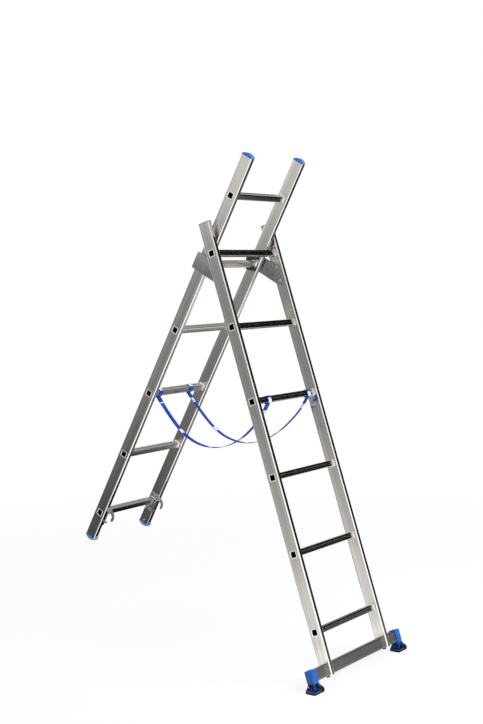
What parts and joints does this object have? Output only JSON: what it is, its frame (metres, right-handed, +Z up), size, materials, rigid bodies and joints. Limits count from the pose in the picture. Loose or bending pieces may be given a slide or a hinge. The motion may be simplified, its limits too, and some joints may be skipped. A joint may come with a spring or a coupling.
{
  "type": "combination ladder",
  "caption": "Aluminium combination ladder set up as an A-frame: a wide front section on a stabiliser bar, and a narrower rear one that pivots in steel jaws and can hook on as an extension.",
  "frame": {"origin": "on the floor, at the middle of the ladder's box seen from above", "axes": "+X along the rungs to the climber's right, +Y from the climber's side to the rear, +Z up"},
  "size_m": [0.6472, 1.196, 1.8695],
  "materials": {
    "aluminium": "mill finish, drawn",
    "galvanised_steel": "galvanised, bluish grey",
    "dark_steel": "blackened, worn bright at the edges",
    "zinc_steel": "zinc plated",
    "fasteners": "zinc plated",
    "anchor_alloy": "machined",
    "blue_plastic": "moulded",
    "black_rubber": "matt",
    "blue_webbing": "woven webbing with plain white marks"
  },
  "bodies": {
    "front_section": {"bar_anchor_left": "anchor_alloy", "bar_anchor_right": "anchor_alloy", "bar_bolts": "fasteners", "bar_washers": "fasteners", "bracket_rivets": "fasteners", "front_left_stile": "aluminium", "front_left_top_plug": "blue_plastic", "front_right_stile": "aluminium", "front_right_top_plug": "blue_plastic", "front_rung_1": "aluminium", "front_rung_2": "aluminium", "front_rung_3": "aluminium", "front_rung_4": "aluminium", "front_rung_5": "aluminium", "front_rung_6": "aluminium", "left_bar_shoe": "blue_plastic", "left_bracket": "galvanised_steel", "left_rung_jaw": "dark_steel", "left_strap": "blue_webbing", "left_strap_front_loop": "blue_webbing", "left_tread": "black_rubber", "right_bar_shoe": "blue_plastic", "right_bracket": "galvanised_steel", "right_rung_jaw": "dark_steel", "right_strap": "blue_webbing", "right_strap_front_loop": "blue_webbing", "right_tread": "black_rubber", "stabiliser_bar": "aluminium"},
    "rear_section": {"catch_pins": "zinc_steel", "foot_rivets": "fasteners", "hook_rivets": "fasteners", "left_hook": "zinc_steel", "left_strap_rear_loop": "blue_webbing", "rear_left_foot": "blue_plastic", "rear_left_stile": "aluminium", "rear_left_top_cap": "blue_plastic", "rear_right_foot": "blue_plastic", "rear_right_stile": "aluminium", "rear_right_top_cap": "blue_plastic", "rear_rung_1": "aluminium", "rear_rung_2": "aluminium", "rear_rung_3": "aluminium", "rear_rung_4": "aluminium", "rear_rung_5": "aluminium", "rear_rung_6": "aluminium", "right_hook": "zinc_steel", "right_strap_rear_loop": "blue_webbing"},
    "left_catch": {"left_catch": "zinc_steel"},
    "right_catch": {"right_catch": "zinc_steel"}
  },
  "joints": [
    {"name": "fold", "type": "hinge", "parent": "front_section", "child": "rear_section", "pos_m": [0, -0.02182, 1.47309], "axis": [-1, 0, 0], "range_deg": [0, 46.6], "deforming": ["left_strap", "right_strap"]},
    {"name": "left_catch_turn", "type": "hinge", "parent": "rear_section", "child": "left_catch", "pos_m": [-0.1477, 0.52783, 0.45381], "axis": [-1, 0, 0], "range_deg": [0, 35]},
    {"name": "right_catch_turn", "type": "hinge", "parent": "rear_section", "child": "right_catch", "pos_m": [0.1477, 0.52783, 0.45381], "axis": [-1, 0, 0], "range_deg": [0, 35]}
  ]
}
